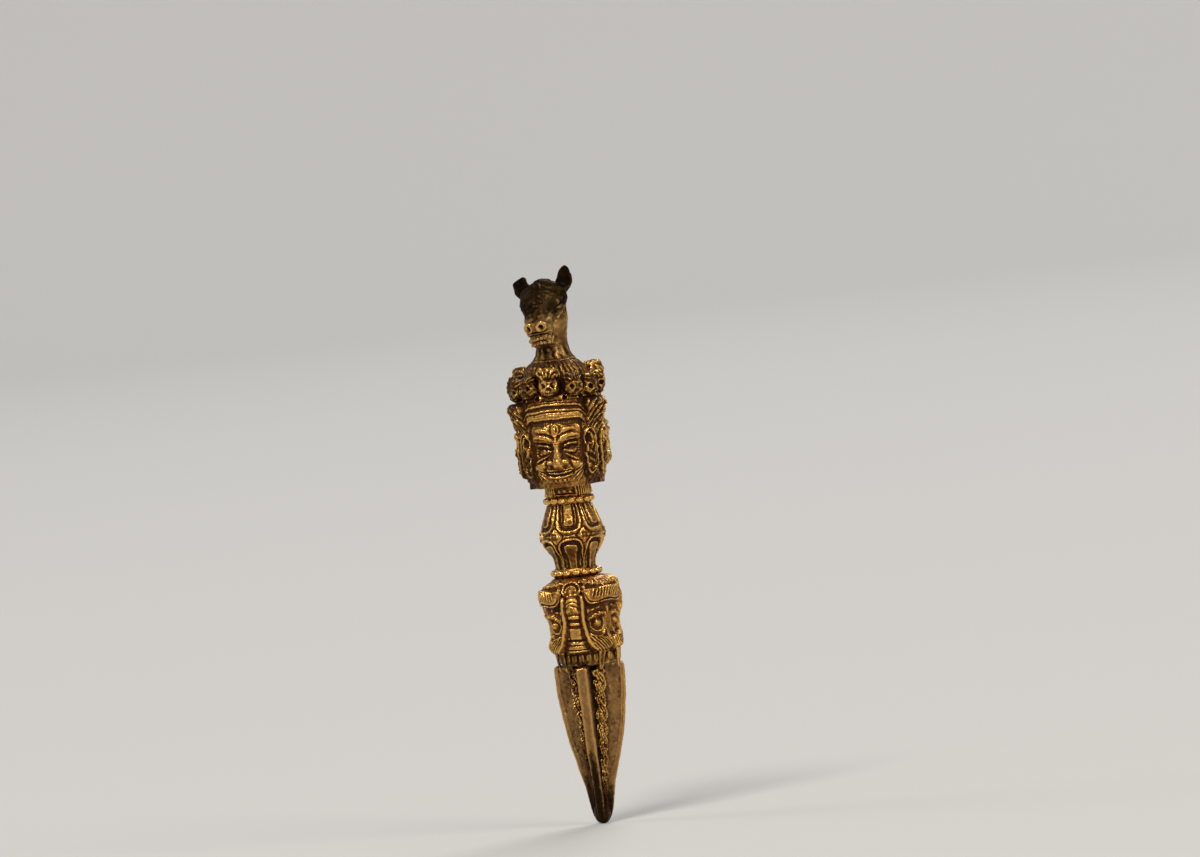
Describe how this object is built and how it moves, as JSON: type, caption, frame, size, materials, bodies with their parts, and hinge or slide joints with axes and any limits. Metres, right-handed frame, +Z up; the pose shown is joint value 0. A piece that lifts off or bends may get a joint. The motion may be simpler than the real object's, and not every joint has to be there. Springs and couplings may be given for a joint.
{
  "type": "phurba dagger",
  "caption": "Small cast, gilt three-edged ritual dagger with a horse-head finial, skull crown, three faces, beaded grip and serpents down its flutes.",
  "frame": {"origin": "the tip of the blade, on the axis", "axes": "+Z up the axis from the blade's tip to the horse's head; the front face looks along -Y"},
  "size_m": [0.0144, 0.015, 0.0799],
  "materials": {
    "gilt": "antique gilding, worn bright on the high points, dark brown in the recesses",
    "blade_gilt": "worn, scratched gilding, duller than the handle, brown towards the tip",
    "horse_gilt": "gilding under a dark brown patina",
    "steel": "plain drawn rod"
  },
  "bodies": {
    "root": {"core_rod": "steel", "jaw_pin": "steel", "finial_pin": "steel", "blade": "blade_gilt", "serpents_right": "gilt", "serpents_back": "gilt", "serpents_left": "gilt", "jaw_collar": "gilt", "teeth": "gilt", "tusks": "gilt", "makara_core": "gilt", "trunk_front": "gilt", "trunk_right": "gilt", "trunk_left": "gilt", "cheek_right": "gilt", "cheek_back": "gilt", "cheek_left": "gilt", "lower_bead_ring": "gilt", "grip_lower": "gilt", "grip_upper": "gilt", "grip_studs": "gilt", "upper_bead_ring": "gilt", "neck_collar": "gilt", "head_core": "gilt", "face_front": "gilt", "face_right": "gilt", "face_left": "gilt", "ears": "gilt", "locks": "gilt", "diadems": "gilt", "crown_drum": "gilt", "skulls": "gilt", "hair_dome": "gilt", "finial_socket": "horse_gilt", "horse_head": "horse_gilt"}
  },
  "joints": []
}
